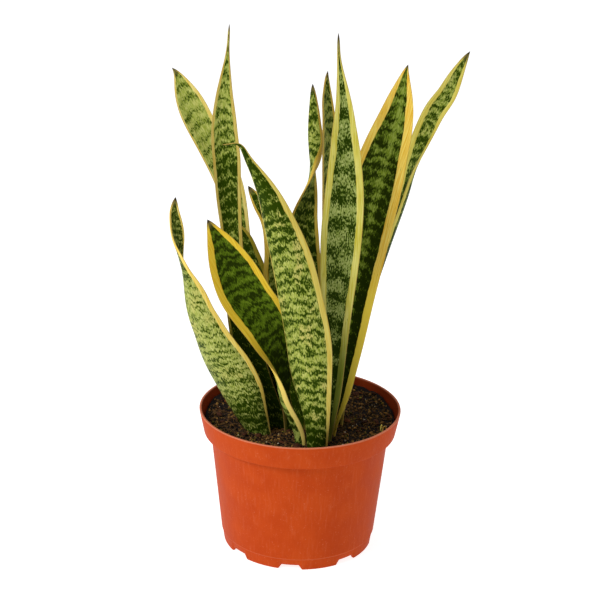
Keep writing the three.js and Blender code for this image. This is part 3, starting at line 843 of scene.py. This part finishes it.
# Tufts of moss and algae on the peat: olive, a few yellowed.
moss_points, moss_faces, moss_tones = lumps(190, 0.0012, 0.0034, 0.5, 0.5)
moss_skin = peat_material("moss_flecks", "#33380e", "#9a8a2c", 0.7)
piece("moss_flecks", moss_points, moss_faces, {"tone": moss_tones}, moss_skin)


def fibres(count, low, high, thickness):
    """Thin curved fibres that lie on the peat: each is a bowed and slightly wavy line with
    three sides, whose ends taper, a little above the surface under it and arched."""
    points_along, sides, clear = 9, 3, 0.001
    steps = np.linspace(-0.5, 0.5, points_along)
    far = np.sqrt(chance.random(count)) * (peat_radius - 0.006)
    way = chance.uniform(0, 2 * np.pi, count)
    spin = chance.uniform(0, 2 * np.pi, (count, 1))
    length = chance.uniform(low, high, (count, 1))
    bow = chance.normal(0, 0.25, (count, 1)) * length
    run = steps * length
    aside = bow * (4 * steps ** 2) + 0.1 * length * np.sin(steps * 11 + spin)
    x = far[:, None] * np.cos(way)[:, None] + run * np.cos(spin) - aside * np.sin(spin)
    y = far[:, None] * np.sin(way)[:, None] + run * np.sin(spin) + aside * np.cos(spin)
    shrink = np.minimum(1, (peat_radius - clear) / np.hypot(x, y).max(1, keepdims=True))
    x, y = x * shrink, y * shrink
    arch = chance.uniform(0.0002, 0.0022, (count, 1)) * (1 - 4 * steps ** 2)
    line = np.stack([x, y, peat_top(x, y) + 0.0003 + arch], 2)
    turn = 2 * np.pi * np.arange(sides) / sides
    girth = thickness / 2 * (1 - 0.85 * (2 * steps) ** 4)[None, :, None, None]
    beside = np.stack([-np.sin(spin), np.cos(spin), np.zeros_like(spin)], 2)[:, :, None]
    above = np.array([0, 0, 1.0])
    ring = beside * np.cos(turn)[:, None] + above * np.sin(turn)[:, None]
    rings = line[:, :, None] + girth * ring
    place = np.arange(points_along * sides).reshape(points_along, sides)
    nearby = np.roll(place, -1, 1)
    quads = np.stack([place[:-1], nearby[:-1], nearby[1:], place[1:]], 2).reshape(-1, 4)
    caps = np.stack([place[0, ::-1], place[-1]])
    shift = points_along * sides * np.arange(count)[:, None, None]
    faces = (quads + shift).reshape(-1, 4).tolist() + (caps + shift).reshape(-1, 3).tolist()
    return rings.reshape(-1, 3), faces, np.repeat(chance.random(count), points_along * sides)


# Root and moss fibres, dry and straw-brown, matt.
fibre_points, fibre_faces, fibre_tones = fibres(260, 0.005, 0.017, 0.0005)
fibre_skin = peat_material("peat_fibres", "#20120b", "#775432", 2.0)
piece("peat_fibres", fibre_points, fibre_faces, {"tone": fibre_tones}, fibre_skin)


# ---- Seedling --------------------------------------------------------------------------
# A seedling in the peat by the right of the rim: two bare pale stalks from one seed, which
# bow over. Each is an arc of 150 degrees, carried along as a tube that thins to its tip.
seedling_x, seedling_y = 0.0615, -0.0215
seedling_foot = np.array([seedling_x, seedling_y, peat_top(seedling_x, seedling_y)])
stalk_radius = 0.00065
stalk_depth = 0.001
stalk_arc = math.radians(150)
steps = np.linspace(0, 1, 16)
turn = 2 * np.pi * np.arange(8) / 8
arc = steps * stalk_arc
girth = stalk_radius * (1 - 0.6 * steps)[:, None, None]
stalks, stalk_faces = [], []
for reach_out, rise_up, bend_to in [
    (0.0055, 0.0085, math.radians(250)),
    (0.0035, 0.006, math.radians(20)),
]:
    out_way = np.array([math.cos(bend_to), math.sin(bend_to), 0])
    sideways = np.array([-out_way[1], out_way[0], 0])
    line = seedling_foot + reach_out / 2 * (1 - np.cos(arc))[:, None] * out_way
    line = line + rise_up * np.sin(arc)[:, None] * np.array([0, 0, 1]) - [0, 0, stalk_depth]
    forward = np.gradient(line, axis=0)
    forward /= np.linalg.norm(forward, axis=1, keepdims=True)
    upward = np.cross(forward, sideways)
    ring = sideways * np.cos(turn)[None, :, None] + upward[:, None] * np.sin(turn)[None, :, None]
    points, faces = closed_rings(line[:, None] + girth * ring, line[0], line[-1], False)
    before = sum(map(len, stalks))
    stalk_faces += [[corner + before for corner in face] for face in faces]
    stalks.append(points)

# Young plant tissue with hardly any green in it: pale yellow, soft, with a dull sheen.
seedling_skin, tree = material("seedling_stalk")
shade = add(tree, "BsdfPrincipled", {}, {
    "Base Color": linear("#dccb62"), "Roughness": 0.5, "Specular IOR Level": 0.2,
})
add(tree, "OutputMaterial", {}, {"Surface": shade})
piece("seedling", np.concatenate(stalks), stalk_faces, {}, seedling_skin)


# ---- Floor and light -------------------------------------------------------------------
# A wide pale floor, a bright even surround, and soft lights: the main one from the left in
# front of the plant, a weaker one from above.
half = 15  # metres from the middle of the floor to each side
floor_mesh = bpy.data.meshes.new("floor")
floor_mesh.from_pydata(
    [(-half, -half, 0), (half, -half, 0), (half, half, 0), (-half, half, 0)], [], [(0, 1, 2, 3)],
)

# Seamless white studio paper, matt. Its glow stands for the light it gets from all round, so
# that it reads as a pale, even ground with hardly a shadow on it.
floor_skin, tree = material("pale_floor")
shade = add(tree, "BsdfPrincipled", {}, {
    "Base Color": linear("#c4c4c4"), "Roughness": 0.9,
    "Emission Color": linear("#ffffff"), "Emission Strength": 0.85,
})
add(tree, "OutputMaterial", {}, {"Surface": shade})
floor_mesh.materials.append(floor_skin)
floor = bpy.data.objects.new("floor", floor_mesh)
bpy.context.scene.collection.objects.link(floor)

world = bpy.data.worlds.new("studio")
world.use_nodes = True
world.node_tree.nodes["Background"].inputs["Color"].default_value = linear("#ffffff")
world.node_tree.nodes["Background"].inputs["Strength"].default_value = 0.38
bpy.context.scene.world = world
bpy.context.scene.view_settings.view_transform = "Standard"

lit_point = Vector((0, 0, 0.2))
for name, spot, size, power in [
    ("key_light", Vector((-1.7, -1.3, 1.7)), 0.9, 40),
    ("top_light", Vector((0.1, 0.5, 2.2)), 1.2, 5),
]:
    lamp = bpy.data.lights.new(name, "AREA")
    lamp.size = size
    lamp.energy = power
    light = bpy.data.objects.new(name, lamp)
    turn = (spot - lit_point).to_track_quat("Z", "Y")
    light.matrix_world = Matrix.Translation(spot) @ turn.to_matrix().to_4x4()
    bpy.context.scene.collection.objects.link(light)
